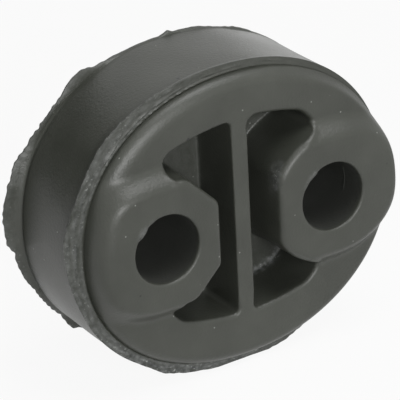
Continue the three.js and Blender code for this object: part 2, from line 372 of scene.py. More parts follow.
def beads(reach, seed):
    """The sum of two ridges, each times its height, its share round the oval and a wave."""
    uneven = np.clip(0.6 + 0.4 * ragged(angle, seed + 2, 9, 70), 0.1, 1.3)
    second = uneven * round_oval(SECOND_BEAD)
    first = round_oval(FIRST_BEAD) * (0.75 + 0.35 * ragged(angle, seed + 4, 40, 190))
    return FIRST_HEIGHT * first * ridge(reach, FIRST_AT) + SECOND_HEIGHT * second * ridge(reach, SECOND_AT)


def streaks(across, seed):
    """A sine across the ledge whose phase and strength wander round the oval, so lines run along it."""
    wander = 0.4 * ragged(angle, seed, 3, 24)
    strength = 0.6 + 0.4 * ragged(angle, seed + 1, 12, 90)
    return np.sin(2 * np.pi * (2.3 * across + wander)) * strength


def ledge_edge(flash):
    """The cap's foot, the wall, the flash's outer edge, and the width from foot to edge."""
    cap = oval(angle, CAP_HALF - CAP_CLEAR, CAP_CENTRE)
    wall = oval(angle, WALL_HALF, WALL_CENTRE)
    out = oval_outward(wall, WALL_HALF, WALL_CENTRE)
    edge = np.clip(wall + flash[:, None] * out, [FARTHEST_LEFT, LOWEST], [FARTHEST_RIGHT, np.inf])
    width = ((edge - cap) * out).sum(1)
    edge += (np.maximum(width, LEAST_FLASH) - width)[:, None] * out
    return cap, wall, edge, np.maximum(width, LEAST_FLASH)


print("The flash may reach from", round(FARTHEST_LEFT, 2), "to", round(FARTHEST_RIGHT, 2), "mm")

# %% Ledge rows
# The surface pattern is stretched along the ledge: 12 mm of it go to one radian of the oval.
PATTERN_PER_RADIAN = 12
FINE_SIZE, WIDE_SIZE, BLOB_SIZE = 0.8, 4.0, 2.4
FINE_HEIGHT, WIDE_HEIGHT, STREAK_HEIGHT, BLOB_HEIGHT = 0.03, 0.06, 0.05, 0.18
# The relief has its full height where the ledge is this wide.
FULL_WIDTH = 1.2
# How torn the brim and a blob are, how strong the painted highlight on a bead's top is, the brim's width, and where a
# bead's top starts.
BRIM_TORN, BLOB_TORN, BEAD_HIGHLIGHT = 0.7, 0.9, 0.8
BRIM_WIDTH, BEAD_TOP = 0.14, 0.14
# The three rows on the flash's back: share of the way out, share of its thickness, and how torn they are.
BACK_OUT, BACK_THICK, BACK_TORN = np.array([[1.0, 0.55, 0.0], [0.45, 0.8, 1.0], [0.5, 0.25, 0.0]])[..., None]


def torn_ledge(reach, width, share, streak, blob, bead):
    """The largest of torn streaks, a thin brim at the outer edge, the blobs, and a painted highlight on the tops of
    the beads.
    """
    brim = BRIM_TORN * share * np.exp(-(((width - reach) / BRIM_WIDTH) ** 2))
    torn = np.maximum(share * np.clip(0.6 + 0.4 * streak, 0, 1), brim) * smooth_step(reach, 0.1, 0.6)
    # Painted highlight: the tops of the beads are painted with the pale torn finish.
    bead_highlight = np.clip(3.0 * (bead - BEAD_TOP), 0, BEAD_HIGHLIGHT) * smooth_step(share, 0.05, 0.3)
    return np.maximum(np.maximum(torn, BLOB_TORN * blob), bead_highlight)


def ledge_rows(flash, thickness, seed, bend):
    """Rows from the crease to the flash's edge and back to the wall, at the parting line less the relief."""
    cap, wall, edge, width = ledge_edge(flash)
    along = np.linspace(0, 1, LEDGE_ROWS + 1)[1:, None]
    xz = cap + along[..., None] * (edge - cap)
    reach = along * width
    bead = beads(reach, seed)
    share = round_oval(TORN_SHARE)
    streak = streaks(along, seed)
    spot = np.stack([np.broadcast_to(PATTERN_PER_RADIAN * angle, reach.shape), reach, 0 * reach], -1)
    # Blobs lie in the middle of the ledge, clear of the crease and of the torn edge.
    inner = smooth_step(reach, 0.5, 0.9) * smooth_step(width - reach, 0.1, 0.6)
    blob = smooth_step(lumps(spot, seed + 3, BLOB_SIZE), 0.7, 1.6) * smooth_step(share, 0.2, 0.6) * inner
    rough = FINE_HEIGHT * lumps(spot, seed, FINE_SIZE) + WIDE_HEIGHT * lumps(spot, seed + 1, WIDE_SIZE)
    rough = rough + STREAK_HEIGHT * share * streak + BLOB_HEIGHT * blob
    fullness = np.clip(width / FULL_WIDTH, 0, 1)
    lean = bend * np.clip((reach - width + flash) / np.maximum(flash, 0.3), 0, 1) ** 2
    y = PARTING_LEVEL - (bead + rough * smooth_step(reach, 0.2, 0.7)) * fullness + lean
    back_xz = wall + BACK_OUT[..., None] * (edge - wall)
    back_y = y[-1] + BACK_THICK * thickness
    back_y = back_y * BACK_OUT + (1 - BACK_OUT) * (PARTING_LEVEL + thickness)
    torn = torn_ledge(reach, width, share, streak, blob, bead)
    torn = np.concatenate([torn, share * BACK_TORN]) * smooth_step(width, 0.3, 1.0)
    return np.concatenate([xz, back_xz]), np.concatenate([y, back_y]), torn


# The front flash is 0.5 mm thick at its root and the rear fin 0.6 mm, and the fin is bent more.
front_xz, front_y, front_torn = ledge_rows(front_flash, 0.5, 21, 0.12 * ragged(angle, 31, 3, 14))
rear_xz, rear_y, rear_torn = ledge_rows(rear_flash, 0.6, 22, 0.3 * ragged(angle, 32, 3, 16))
print("Ledge depth, from shallowest to deepest point:", front_y.min().round(2), front_y.max().round(2), "mm")

# %% [markdown]
# ## The side wall, and the rim as one grid
#
# The middle plate of the mould made the side wall, so it runs straight from one parting line to the
# other. It sinks in a little here and there where the rubber shrank, and a shallow groove runs
# beside the rear fin. Its rows lie closer at both ends, where it meets the flash.

# %% Side wall and rim
END_STEPS, NEXT_STEP, WALL_ROWS = np.array([0.2, 0.45, 0.7, 1.0, 1.5])[:, None], 2.5, 11
WALL_WAVE, WALL_WAVE_LENGTH = 0.05, 11.0
GROOVE_DEPTH, GROOVE_FROM_END, GROOVE_HALF_WIDTH = 0.3, 0.5, 0.35
wall_front, wall_rear = front_y[-1], DEPTH - rear_y[-1]
wall_y = np.concatenate([
    wall_front + END_STEPS,
    np.linspace(wall_front + NEXT_STEP, wall_rear - NEXT_STEP, WALL_ROWS),
    wall_rear - END_STEPS[::-1],
])
wall_oval = oval(angle, WALL_HALF, WALL_CENTRE)
wall_out = oval_outward(wall_oval, WALL_HALF, WALL_CENTRE)
wall_x, wall_z = np.broadcast_to(wall_oval.T[:, None, :], (2, *wall_y.shape))
wall_spot = np.stack([wall_x, wall_y, wall_z], -1)
hollow = WALL_WAVE * (np.minimum(lumps(wall_spot, 41, WALL_WAVE_LENGTH), 1) - 1)
from_groove = (wall_rear - wall_y - GROOVE_FROM_END) / GROOVE_HALF_WIDTH
groove = GROOVE_DEPTH * np.exp(-(from_groove**2)) * bell(178, 38)
wall_xz = wall_oval + (hollow - groove)[..., None] * wall_out

rim_xz = np.concatenate([cap_xz, front_xz, wall_xz, rear_xz[::-1], cap_xz[::-1]])
rim_y = np.concatenate([cap_y, front_y, wall_y, DEPTH - rear_y[::-1], DEPTH - cap_y[::-1]])
cap_torn, wall_torn = np.zeros_like(cap_y), np.zeros_like(wall_y)
rim_torn = np.concatenate([cap_torn, front_torn, wall_torn, rear_torn[::-1], cap_torn])
rim = rubber.add(rim_xz, rim_y, rim_torn)
rubber.skin(rim, outward=True)
print("Rim:", rim.shape[0], "rows of", rim.shape[1], "points")

# %% [markdown]
# ## The pockets
#
# Each pocket is C-shaped: it wraps round a boss, between ring and web. Its outline is a polygon with
# a radius of its own at each corner, and its top and bottom then bow with the oval. From the mouth's
# rounded lip its wall goes down with the mould's one degree of draft to a thin skin at mid depth,
# where the two cores met.

# %% Outline with rounded corners
def rounded_outline(corners, radii, spacing):
    """Each corner becomes an arc that touches both sides; then the whole line is divided into equal steps."""
    corners = np.array(corners, float)
    back = np.roll(corners, 1, 0) - corners
    on = np.roll(corners, -1, 0) - corners
    back /= np.linalg.norm(back, axis=1)[:, None]
    on /= np.linalg.norm(on, axis=1)[:, None]
    half = np.arccos((back * on).sum(1)) / 2
    inward = (back + on) / np.linalg.norm(back + on, axis=1)[:, None]
    centre = corners + inward * (np.array(radii) / np.sin(half))[:, None]
    side = np.sign(back[:, 0] * on[:, 1] - back[:, 1] * on[:, 0])
    turn = (np.pi / 2 - half)[:, None] * np.linspace(-1, 1, 17) * -side[:, None]
    spoke = -inward[:, None, :]
    swung = np.stack([
        spoke[..., 0] * np.cos(turn) - spoke[..., 1] * np.sin(turn),
        spoke[..., 0] * np.sin(turn) + spoke[..., 1] * np.cos(turn),
    ], -1)
    line = (centre[:, None, :] + swung * np.array(radii)[:, None, None]).reshape(-1, 2)
    line = np.concatenate([line, line[:1]])
    run = np.concatenate([[0], np.cumsum(np.linalg.norm(np.diff(line, axis=0), axis=1))])
    at = np.linspace(0, run[-1], int(run[-1] / spacing) + 1)[:-1]
    return np.stack([np.interp(at, run, line[:, 0]), np.interp(at, run, line[:, 1])], 1)


print("A square of 10 mm with round corners:", rounded_outline(
    [(0, 0), (10, 0), (10, 10), (0, 10)], [2, 2, 2, 2], 1.0).shape[0], "points 1 mm apart")

# %% Pocket outline
WEB_HALF = 1.55
WINDOW_TOP = 17.4
BOW_RADIUS = 42.0
# Distance between the outline's points.
POCKET_SPACING = 0.38
# Distance from the web's middle, height and radius, from the web's lower foot round to its upper foot.
POCKET_CORNERS = {
    -1: [(1.55, -17.4, 1.0), (14.0, -17.3, 2.7), (14.0, -10.95, 1.4), (11.1, -10.95, 3.4), (5.95, -5.8, 1.6),
         (5.9, 5.4, 2.2), (11.75, 11.25, 3.0), (14.4, 11.25, 1.35), (14.4, 17.3, 1.6), (1.55, 17.4, 1.0)],
    1: [(1.55, -17.5, 0.9), (14.1, -17.4, 2.8), (14.1, -12.2, 1.4), (8.3, -9.5, 11.6), (5.85, -6.0, 3.4),
        (5.85, 6.1, 3.4), (8.3, 9.6, 11.6), (14.1, 12.3, 1.4), (14.1, 17.5, 2.8), (1.55, 17.5, 2.2)],
}


def pocket_outline(side):
    """The corners rounded, then the top and bottom bowed by a circle of 42 mm; the left one is mirrored."""
    corners = np.array(POCKET_CORNERS[side])
    line = rounded_outline(corners[:, :2], corners[:, 2], POCKET_SPACING)
    sink = BOW_RADIUS - np.sqrt(BOW_RADIUS**2 - line[:, 0] ** 2)
    share = smooth_step(np.abs(line[:, 1]), LAND_HALF_HEIGHT + 0.6, WINDOW_TOP)
    line[:, 1] -= np.sign(line[:, 1]) * sink * share
    return line if side > 0 else (line * [-1, 1])[::-1]


print("Left pocket's outline has", len(pocket_outline(-1)), "points and the right one's", len(pocket_outline(1)))

# %% Pocket walls
# Radius of the mouth's lip on the web, on the ring and on the two bosses.
WEB_LIP, RING_LIP, LEFT_BOSS_LIP, RIGHT_BOSS_LIP = 0.35, 0.8, 1.0, 1.3
SKIN_THICKNESS = 0.9
SKIN_FRONT = DEPTH / 2 - SKIN_THICKNESS / 2
LIP_STEPS, WALL_STEPS, FOOT_STEPS = 5, 8, 3
DRAFT = math.tan(math.radians(1.0))
FOOT_RADIUS = 0.45


def lip_radius(line):
    """One radius on the web, one on the boss and one on the ring, averaged over 9 points so that they run together."""
    x, z = np.abs(line).T
    web = (x < WEB_HALF + 0.1) & (z < WINDOW_TOP - 1.8)
    boss = (z < LAND_HALF_HEIGHT + 0.2) & ~web
    boss_lip = RIGHT_BOSS_LIP if line[:, 0].mean() > 0 else LEFT_BOSS_LIP
    radius = np.where(web, WEB_LIP, np.where(boss, boss_lip, RING_LIP))
    return sum(np.roll(radius, k) for k in range(-4, 5)) / 9


def pocket_rows(side):
    """Rows from the mouth on the face, round the lip, down the drafted wall and round the foot to the skin."""
    line = pocket_outline(side)
    lip = lip_radius(line)
    top = level(beside(line, lip))
    turn = np.linspace(0, np.pi / 2, LIP_STEPS + 1)
    lip_xz = [beside(line, lip * (1 - math.sin(a))) for a in turn]
    lip_y = [top + lip * (1 - math.cos(a)) for a in turn]
    foot_top = SKIN_FRONT - FOOT_RADIUS
    depths = [lip_y[-1] + share * (foot_top - lip_y[-1]) for share in np.linspace(0, 1, WALL_STEPS + 1)[1:]]
    wall = [beside(line, -(d - lip_y[-1]) * DRAFT) for d in depths]
    drawn = (depths[-1] - lip_y[-1]) * DRAFT
    bends = np.linspace(0, np.pi / 2, FOOT_STEPS + 1)[1:]
    foot = [beside(line, -drawn - FOOT_RADIUS * (1 - math.cos(a))) for a in bends]
    foot_y = [foot_top + FOOT_RADIUS * math.sin(a) + 0 * top for a in bends]
    return np.stack(lip_xz + wall + foot), np.stack(lip_y + depths + foot_y)


print("The pockets' walls go down to the skin at", SKIN_FRONT, "mm")

# %% Add the pockets, with their torn spots and a painted highlight
# How much of the torn finish the skin shows all over.
SKIN_PALE = 0.08
# The middle of the rough spot: its x, its depth and its height.
LIP_SPOT = np.array([5.9, 1.9, 5.6])


def pocket_torn(xz, y):
    """1 along the foot at the lower right, where flash was torn out and the pale finish also serves as a painted
    highlight, and on a rough spot of the right boss's lip.
    """
    x, z = xz[..., 0], xz[..., 1]
    foot = smooth_step(y, SKIN_FRONT - 1.0, SKIN_FRONT - 0.3)
    # Along the foot the pale finish is partly torn flash and partly a painted highlight.
    torn_foot = foot * smooth_step(x, 6.5, 8.5) * smooth_step(-z, 11.5, 13.5)
    along_lip = np.exp(-(((y - LIP_SPOT[1]) / 1.0) ** 2)) * np.exp(-(((z - LIP_SPOT[2]) / 2.6) ** 4))
    lip = along_lip * (np.abs(x - LIP_SPOT[0]) < 1.8)
    frayed = np.clip(0.55 + 0.6 * lumps(np.stack([x, y, z], -1), 51, 0.9), 0, 1)
    return np.maximum(np.maximum(torn_foot, lip) * frayed, SKIN_PALE * foot)


mouths = {"front": [], "rear": []}
feet = {"front": [], "rear": []}
for side in (-1, 1):
    pocket_xz, pocket_y = pocket_rows(side)
    near = rubber.add(pocket_xz, pocket_y, pocket_torn(pocket_xz, pocket_y))
    far = rubber.add(pocket_xz, DEPTH - pocket_y)
    rubber.skin(near, outward=False)
    rubber.skin(far, outward=True)
    for face, rows in (("front", near), ("rear", far)):
        mouths[face].append(rows[0])
        feet[face].append(rows[-1])
print("Pockets: outline of", pocket_xz.shape[1], "points,", pocket_xz.shape[0], "rows deep")

# %% [markdown]
# ## The bores
#
# Each bore is a straight tube, 12 mm across, with a small rounded lead-in. Slivers of rubber are
# left at the upper left of both mouths, where the core pin met the front plate, and a faint raised
# seam stands in the right bore. They are bumps on the tube's radius, which is a function of the
# angle and the depth. The pins left the tubes duller than the faces, and shade is painted into
# their colour, so each point also says whether it lies inside.

# %% Bore tubes
BORE_RADIUS = 6.0
BORE_STEPS = 144
LEAD = 0.5
# Each sliver's angle in degrees, height in mm and half width in degrees.
SLIVERS = {-1: [(137, 0.52, 11), (118, 0.12, 9)], 1: [(128, 0.32, 10), (146, 0.16, 8)]}
SLIVER_DEPTH, SLIVER_HALF_DEPTH = 0.42, 0.34
SEAM_DEPTH, SEAM_HEIGHT, SEAM_HALF_WIDTH = 5.35, 0.14, 0.13
# The seam shows this many degrees to both sides of the bore's right, and is gone at the second number.
SEAM_FULL, SEAM_END = 16, 26
# Rows stand 0.1 mm apart at the seam and wider apart before and behind it.
TUBE_ROWS = np.concatenate([
    np.linspace(LEAD, 4.6, 12)[1:], np.linspace(4.9, 5.8, 10), np.linspace(6.4, DEPTH - LEAD, 16),
])


def bore_rows(side):
    """Radius 6 mm plus a quarter-circle lead-in at both ends, less a sliver that fades over angle and depth."""
    turn = np.linspace(0, np.pi / 2, 5)
    lead_r, lead_y = LEAD * (1 - np.sin(turn)), LEAD * (1 - np.cos(turn))
    y = np.concatenate([lead_y, TUBE_ROWS, DEPTH - lead_y[-2::-1]])[:, None]
    grow = np.concatenate([lead_r, 0 * TUBE_ROWS, lead_r[-2::-1]])[:, None]
    spin = np.arange(BORE_STEPS) * 2 * np.pi / BORE_STEPS
    degrees = np.degrees(spin)
    sliver = sum(height * np.exp(-(((degrees - at) / wide) ** 4)) for at, height, wide in SLIVERS[side])
    behind_mouth = np.exp(-(((y - SLIVER_DEPTH) / SLIVER_HALF_DEPTH) ** 4)) * (y > 0.01)
    radius = BORE_RADIUS + grow - sliver * behind_mouth
    if side > 0:
        tilt = np.abs((degrees + 180) % 360 - 180)
        seam = SEAM_HEIGHT * np.exp(-(((y - SEAM_DEPTH) / SEAM_HALF_WIDTH) ** 2))
        radius = radius - seam * (1 - smooth_step(tilt, SEAM_FULL, SEAM_END))
    xz = np.stack([radius * np.cos(spin), radius * np.sin(spin)], -1) + [side * BORE_HALF_SPACING, 0]
    pale = np.clip(1.4 * sliver, 0, 0.5) * np.exp(-(((y - 0.15) / 0.2) ** 4))
    # The last value grows inside the tube; it makes the tube duller and paints shade into its colour.
    return xz, np.broadcast_to(y, radius.shape), pale, smooth_step(y, 0.3, 1.2)


for side in (-1, 1):
    bore_xz, bore_y, bore_torn, bore_dull = bore_rows(side)
    rows = rubber.add(bore_xz, bore_y, bore_torn, bore_dull)
    rubber.skin(rows, outward=False)
    mouths["front"].append(rows[0])
    mouths["rear"].append(rows[-1])
print("Bores:", bore_xz.shape[0], "rows of", BORE_STEPS, "points")

# %% [markdown]
# ## The faces and the skin between the pockets
#
# A face with six holes has no natural grid, so it is filled: a triangular lattice of points is laid
# over it, those that lie on rubber are kept, and a Delaunay triangulation joins them to the rim and
# the mouths. Each point's depth comes from the height function.

# %% Filling between closed lines
# A lattice point's least distance from a line, as a share of the spacing; it is measured in parts to save memory.
LEAST_DISTANCE, PARTS = 0.55, 24
SAME_POINT = 1e-7


def inside(points, line):
    """True where a ray towards +X crosses the closed line an odd number of times."""
    a, b = line, np.roll(line, -1, 0)
    x, z = points[:, :1], points[:, 1:]
    crosses = (a[:, 1] > z) != (b[:, 1] > z)
    rise = np.where(a[:, 1] == b[:, 1], 1, b[:, 1] - a[:, 1])
    at = a[:, 0] + (z - a[:, 1]) * (b[:, 0] - a[:, 0]) / rise
    return (crosses & (x < at)).sum(1) % 2 == 1


def lattice(loops, spacing):
    """Points of a triangular lattice inside the first line, outside the others, and clear of all of them."""
    low, high = loops[0].min(0), loops[0].max(0)
    row_gap = spacing * math.sqrt(0.75)
    x, z = np.meshgrid(np.arange(low[0], high[0], spacing), np.arange(low[1], high[1], row_gap))
    x[1::2] += spacing / 2
    points = np.stack([x.ravel(), z.ravel()], 1)
    points = points[inside(points, loops[0])]
    for loop in loops[1:]:
        points = points[~inside(points, loop)]
    every = np.concatenate(loops)
    nearest = np.concatenate([
        np.sqrt(((part[:, None] - every) ** 2).sum(-1)).min(1) for part in np.array_split(points, PARTS)
    ])
    return points[nearest > LEAST_DISTANCE * spacing]


def fill(loop_numbers, spacing, depth_of, outward_front, torn=0.0):
    """Triangles that join a lattice to the given closed lines of numbered points."""
    known = np.concatenate(rubber.points)
    loops = [known[numbers][:, [0, 2]] for numbers in loop_numbers]
    extra = lattice(loops, spacing)
    extra_numbers = rubber.add(extra, depth_of(extra), torn)
    numbers = np.concatenate([*loop_numbers, extra_numbers])
    flat = np.concatenate([*loops, extra])
    edges, start = [], 0
    for loop in loops:
        run = np.arange(start, start + len(loop))
        edges += np.stack([run, np.roll(run, -1)], 1).tolist()
        start += len(loop)
    made = delaunay_2d_cdt([Vector(p) for p in flat.tolist()], edges, [], 0, SAME_POINT)
    origin = np.array([sources[0] for sources in made[3]])
    faces = origin[np.array(made[2])]
    middle = flat[faces].mean(1)
    keep = inside(middle, loops[0])
    for loop in loops[1:]:
        keep &= ~inside(middle, loop)
    faces = numbers[faces[keep]]
    rubber.faces.append(faces if outward_front else faces[:, ::-1])
    return len(extra), int(keep.sum())


print("Line test:", inside(np.array([[0.0, 0.0], [9.0, 0.0]]), np.array([[1, -1], [1, 1], [-1, 1], [-1, -1]])))

# %% Front face, rear face and skins
FACE_SPACING, SKIN_SPACING = 0.55, 0.9
for face, edge_row, outward in (("front", rim[0], True), ("rear", rim[-1], False)):
    depth_of = level if outward else (lambda xz: DEPTH - level(xz))
    made = fill([edge_row, *mouths[face]], FACE_SPACING, depth_of, outward)
    print(face, "face:", made, "points and triangles")
    skin_y = SKIN_FRONT if outward else DEPTH - SKIN_FRONT
    for foot in feet[face]:
        fill([foot], SKIN_SPACING, lambda xz: skin_y, outward, SKIN_PALE)

# %% [markdown]
# ## The mesh
#
# All faces go into one mesh, moved into the frame and turned into metres. Its edges are shaded
# smooth, except those that bend by more than 50 degrees. A closed mesh has two faces at every edge,
# and its volume comes out positive when all of them point outwards, so both are printed.

# %% Make the mesh
SHARP_FROM = math.radians(50)
points = (np.concatenate(rubber.points) + place) * MM
points[:, 2] = np.maximum(points[:, 2], 0)
torn = np.concatenate(rubber.torn)
dull = np.concatenate(rubber.dull)
corner_counts = np.concatenate([np.full(len(f), f.shape[1]) for f in rubber.faces])
corners = np.concatenate([f.ravel() for f in rubber.faces])
starts = np.concatenate([[0], np.cumsum(corner_counts)[:-1]])

mesh = bpy.data.meshes.new("moulded_rubber")
mesh.vertices.add(len(points))
mesh.vertices.foreach_set("co", points.astype(np.float32).ravel())
mesh.loops.add(len(corners))
mesh.loops.foreach_set("vertex_index", corners.astype(np.int32))
mesh.polygons.add(len(corner_counts))
mesh.polygons.foreach_set("loop_start", starts.astype(np.int32))
mesh.polygons.foreach_set("loop_total", corner_counts.astype(np.int32))
mesh.update(calc_edges=True)
# The second attribute makes the bores duller and paints shade into them; the first also carries the painted highlight
# on the beads' tops and a pocket's foot.
for name, values in (("torn", torn), ("dull", dull)):
    mesh.attributes.new(name, "FLOAT", "POINT").data.foreach_set("value", values.astype(np.float32))
mesh.shade_smooth()
mesh.set_sharp_from_angle(angle=SHARP_FROM)
print("Mesh is valid:", not mesh.validate())

# %% Measure it and put it in place
triangles = np.concatenate([
    np.concatenate([f[:, [0, k, k + 1]] for k in range(1, f.shape[1] - 1)]) for f in rubber.faces
])
a, b, c = points[triangles].transpose(1, 0, 2)
volume = (a * np.cross(b, c)).sum() / 6
pairs = np.sort(np.concatenate([triangles[:, [0, 1]], triangles[:, [1, 2]], triangles[:, [2, 0]]]), 1)
uses = np.unique(pairs, axis=0, return_counts=True)[1]
print(len(triangles), "triangles,", round(volume * 1e6, 2), "cubic cm, open edges:", int((uses != 2).sum()))

hanger = bpy.data.objects.new("moulded_hanger_rubber", mesh)
bpy.context.scene.collection.objects.link(hanger)
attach(hanger, "root")
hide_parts("hanger_rubber")
print("Made", hanger.name, "with", len(points), "points")

# %% [markdown]
# ## The rubber's finish
#
# The rubber is EPDM filled with carbon black, pressed in a steel mould. Carbon black makes it nearly
# black, and the mould's blasted steel gives it a dull skin with a weak, wide gloss. A fine grain
# breaks that gloss up, a thin grey bloom of wax lies on it in soft patches, and light dust specks
# stick to it. Torn flash shows fresh rough rubber, grey with pale flecks of talc, and has next to no
# gloss. The torn share mixes the two, and it also lays that pale finish on the beads' tops and along
# one pocket's foot as painted highlight. The dull share makes the bores rougher and paints shade
# into their colour.

# %% Node helpers and the moulded skin's colour
def linear(hex_colour):
    """Each sRGB channel below 0.04045 is divided by 12.92; the others follow the 2.4 power curve."""
    rgb = np.array([int(hex_colour[i:i + 2], 16) for i in (1, 3, 5)]) / 255
    curve = np.where(rgb <= 0.04045, rgb / 12.92, ((rgb + 0.055) / 1.055) ** 2.4)
    return (*curve, 1.0)


def empty_tree(owner):
    """Turns nodes on for a material or the world and gives its node tree back, emptied."""
    owner.use_nodes = True
    owner.node_tree.nodes.clear()
    return owner.node_tree


def node(tree, kind, links=None, **settings):
    """Adds one node. A setting that names an input fills that input, and any other is a property of the node."""
    made = tree.nodes.new(kind)
    for name, value in settings.items():
        if hasattr(made, name):
            setattr(made, name, value)
        else:
            made.inputs[name.replace("_", " ")].default_value = value
    for name, source in (links or {}).items():
        tree.links.new(source, made.inputs[name])
    return made


def per_metre(size_mm):
    """A pattern's scale from its real size, because Object coordinates are in metres."""
    return 1000 / size_mm


epdm = bpy.data.materials.new("moulded_epdm_rubber")
tree = empty_tree(epdm)
here = node(tree, "ShaderNodeTexCoord").outputs["Object"]
torn_here = node(tree, "ShaderNodeAttribute", attribute_name="torn").outputs["Fac"]
dull_here = node(tree, "ShaderNodeAttribute", attribute_name="dull").outputs["Fac"]

# Wax bloom: soft patches about 9 mm wide, a shade lighter than the rubber.
bloom = node(tree, "ShaderNodeTexNoise", {"Vector": here}, Scale=per_metre(9), Detail=3.0, Roughness=0.55)
bloom_share = node(tree, "ShaderNodeMapRange", {"Value": bloom.outputs["Fac"]}, From_Min=0.35, From_Max=0.7)
skin_colour = node(tree, "ShaderNodeMix", {"Factor": bloom_share.outputs["Result"]}, data_type="RGBA")
skin_colour.inputs[6].default_value = linear("#383a34")
skin_colour.inputs[7].default_value = linear("#41433d")

# Painted shade: the bores' tubes are painted darker than the faces.
bore_shade_share = node(tree, "ShaderNodeMath", {0: dull_here}, operation="MULTIPLY")
bore_shade_share.inputs[1].default_value = 0.6
bore_shaded_colour = node(tree, "ShaderNodeMix", {
    "Factor": bore_shade_share.outputs[0], 6: skin_colour.outputs[2],
}, data_type="RGBA")
bore_shaded_colour.inputs[7].default_value = linear("#191a18")
print("Colour of the moulded skin:", len(tree.nodes), "nodes")

# %% Specks of dust and grit
# Dust: one dot of about 0.3 mm in some cells of a 1.9 mm lattice. Grit: a few dark dots of 0.5 mm.
dust = node(tree, "ShaderNodeTexVoronoi", {"Vector": here}, Scale=per_metre(1.9))
dust_dot = node(tree, "ShaderNodeMapRange", {"Value": dust.outputs["Distance"]}, From_Min=0.085, From_Max=0.06)
dust_pick = node(tree, "ShaderNodeSeparateColor", {"Color": dust.outputs["Color"]})
dust_some = node(tree, "ShaderNodeMath", {0: dust_pick.outputs["Red"]}, operation="GREATER_THAN")
dust_some.inputs[1].default_value = 0.83
dust_share = node(tree, "ShaderNodeMath", {
    0: dust_dot.outputs["Result"], 1: dust_some.outputs[0],
}, operation="MULTIPLY")
dusty = node(tree, "ShaderNodeMix", {
    "Factor": dust_share.outputs[0], 6: bore_shaded_colour.outputs[2],
}, data_type="RGBA")
dusty.inputs[7].default_value = linear("#7f817c")
grit = node(tree, "ShaderNodeTexVoronoi", {"Vector": here}, Scale=per_metre(8))
grit_dot = node(tree, "ShaderNodeMapRange", {"Value": grit.outputs["Distance"]}, From_Min=0.04, From_Max=0.025)
gritty = node(tree, "ShaderNodeMix", {"Factor": grit_dot.outputs["Result"], 6: dusty.outputs[2]}, data_type="RGBA")
gritty.inputs[7].default_value = linear("#191a18")
print("With dust and grit:", len(tree.nodes), "nodes")

# %% Torn rubber's colour, which also makes the painted highlight
# Blotches of about 1.4 mm between dark and pale grey, with paler flecks of about 0.5 mm.
blotch = node(tree, "ShaderNodeTexNoise", {"Vector": here}, Scale=per_metre(1.4), Detail=4.0, Roughness=0.65)
torn_colour = node(tree, "ShaderNodeValToRGB", {"Fac": blotch.outputs["Fac"]})
ramp = torn_colour.color_ramp
ramp.elements[0].position, ramp.elements[0].color = 0.34, linear("#292b2b")
ramp.elements[1].position, ramp.elements[1].color = 0.76, linear("#909291")
fleck = node(tree, "ShaderNodeTexNoise", {"Vector": here}, Scale=per_metre(0.5), Detail=2.0, Roughness=0.5)
fleck_share = node(tree, "ShaderNodeMapRange", {"Value": fleck.outputs["Fac"]}, From_Min=0.62, From_Max=0.7)
flecked = node(tree, "ShaderNodeMix", {
    "Factor": fleck_share.outputs["Result"], 6: torn_colour.outputs["Color"],
}, data_type="RGBA")
flecked.inputs[7].default_value = linear("#a9aca9")
colour = node(tree, "ShaderNodeMix", {
    "Factor": torn_here, 6: gritty.outputs[2], 7: flecked.outputs[2],
}, data_type="RGBA")
print("With torn rubber:", len(tree.nodes), "nodes")

# %% Roughness, grain and the finished material
# Roughness is 0.34 to 0.46 on the moulded skin, 0.75 in the bores, and 0.8 where it is torn and where the painted
# highlight lies.
skin_rough = node(tree, "ShaderNodeMapRange", {"Value": bloom.outputs["Fac"]}, To_Min=0.34, To_Max=0.46)
tube_rough = node(tree, "ShaderNodeMix", {"Factor": dull_here, "A": skin_rough.outputs["Result"]}, B=0.75)
rough = node(tree, "ShaderNodeMix", {"Factor": torn_here, "A": tube_rough.outputs[0]}, B=0.8)

# The mould's grain is about 0.45 mm wide, and the torn rubber's crumbs come from its blotches.
grain = node(tree, "ShaderNodeTexNoise", {"Vector": here}, Scale=per_metre(0.45), Detail=3.0, Roughness=0.6)
fine = node(tree, "ShaderNodeBump", {"Height": grain.outputs["Fac"]}, Strength=0.8, Distance=0.07 * MM)
crumb = node(tree, "ShaderNodeMath", {0: blotch.outputs["Fac"], 1: torn_here}, operation="MULTIPLY")
coarse = node(tree, "ShaderNodeBump", {
    "Height": crumb.outputs[0], "Normal": fine.outputs["Normal"],
}, Strength=0.5, Distance=0.12 * MM)

shader = node(tree, "ShaderNodeBsdfPrincipled", {
    "Base Color": colour.outputs[2], "Roughness": rough.outputs[0], "Normal": coarse.outputs["Normal"],
}, IOR=1.5)
node(tree, "ShaderNodeOutputMaterial", {"Surface": shader.outputs[0]})
hanger.data.materials.append(epdm)
print("Material", epdm.name, "has", len(tree.nodes), "nodes")

# %% [markdown]
# ## The floor
#
# The rubber stands on a plain sheet of white paper. The paper is white to the camera and to glossy
# rays through Light Path, so the background stays white without more light on the rubber. A small
# part of what they see is the lit paper itself, which keeps the rubber's shadow.

# %% Floor
FLOOR_HALF = 2.0
PAPER_GLOW = 0.92


def sheet(name, corners):
    """One four-sided face for the studio."""
    face_mesh = bpy.data.meshes.new(name)
    face_mesh.from_pydata(corners, [], [(0, 1, 2, 3)])
    made = bpy.data.objects.new(name, face_mesh)
    bpy.context.scene.collection.objects.link(made)
    return made


def seen_directly(tree):
    """1 for camera, glossy and transmission rays, 0 for the others."""
    path = node(tree, "ShaderNodeLightPath").outputs
    two = node(tree, "ShaderNodeMath", {0: path["Is Camera Ray"], 1: path["Is Glossy Ray"]}, operation="MAXIMUM")
    three = node(tree, "ShaderNodeMath", {0: two.outputs[0], 1: path["Is Transmission Ray"]}, operation="MAXIMUM")
    return three.outputs[0]


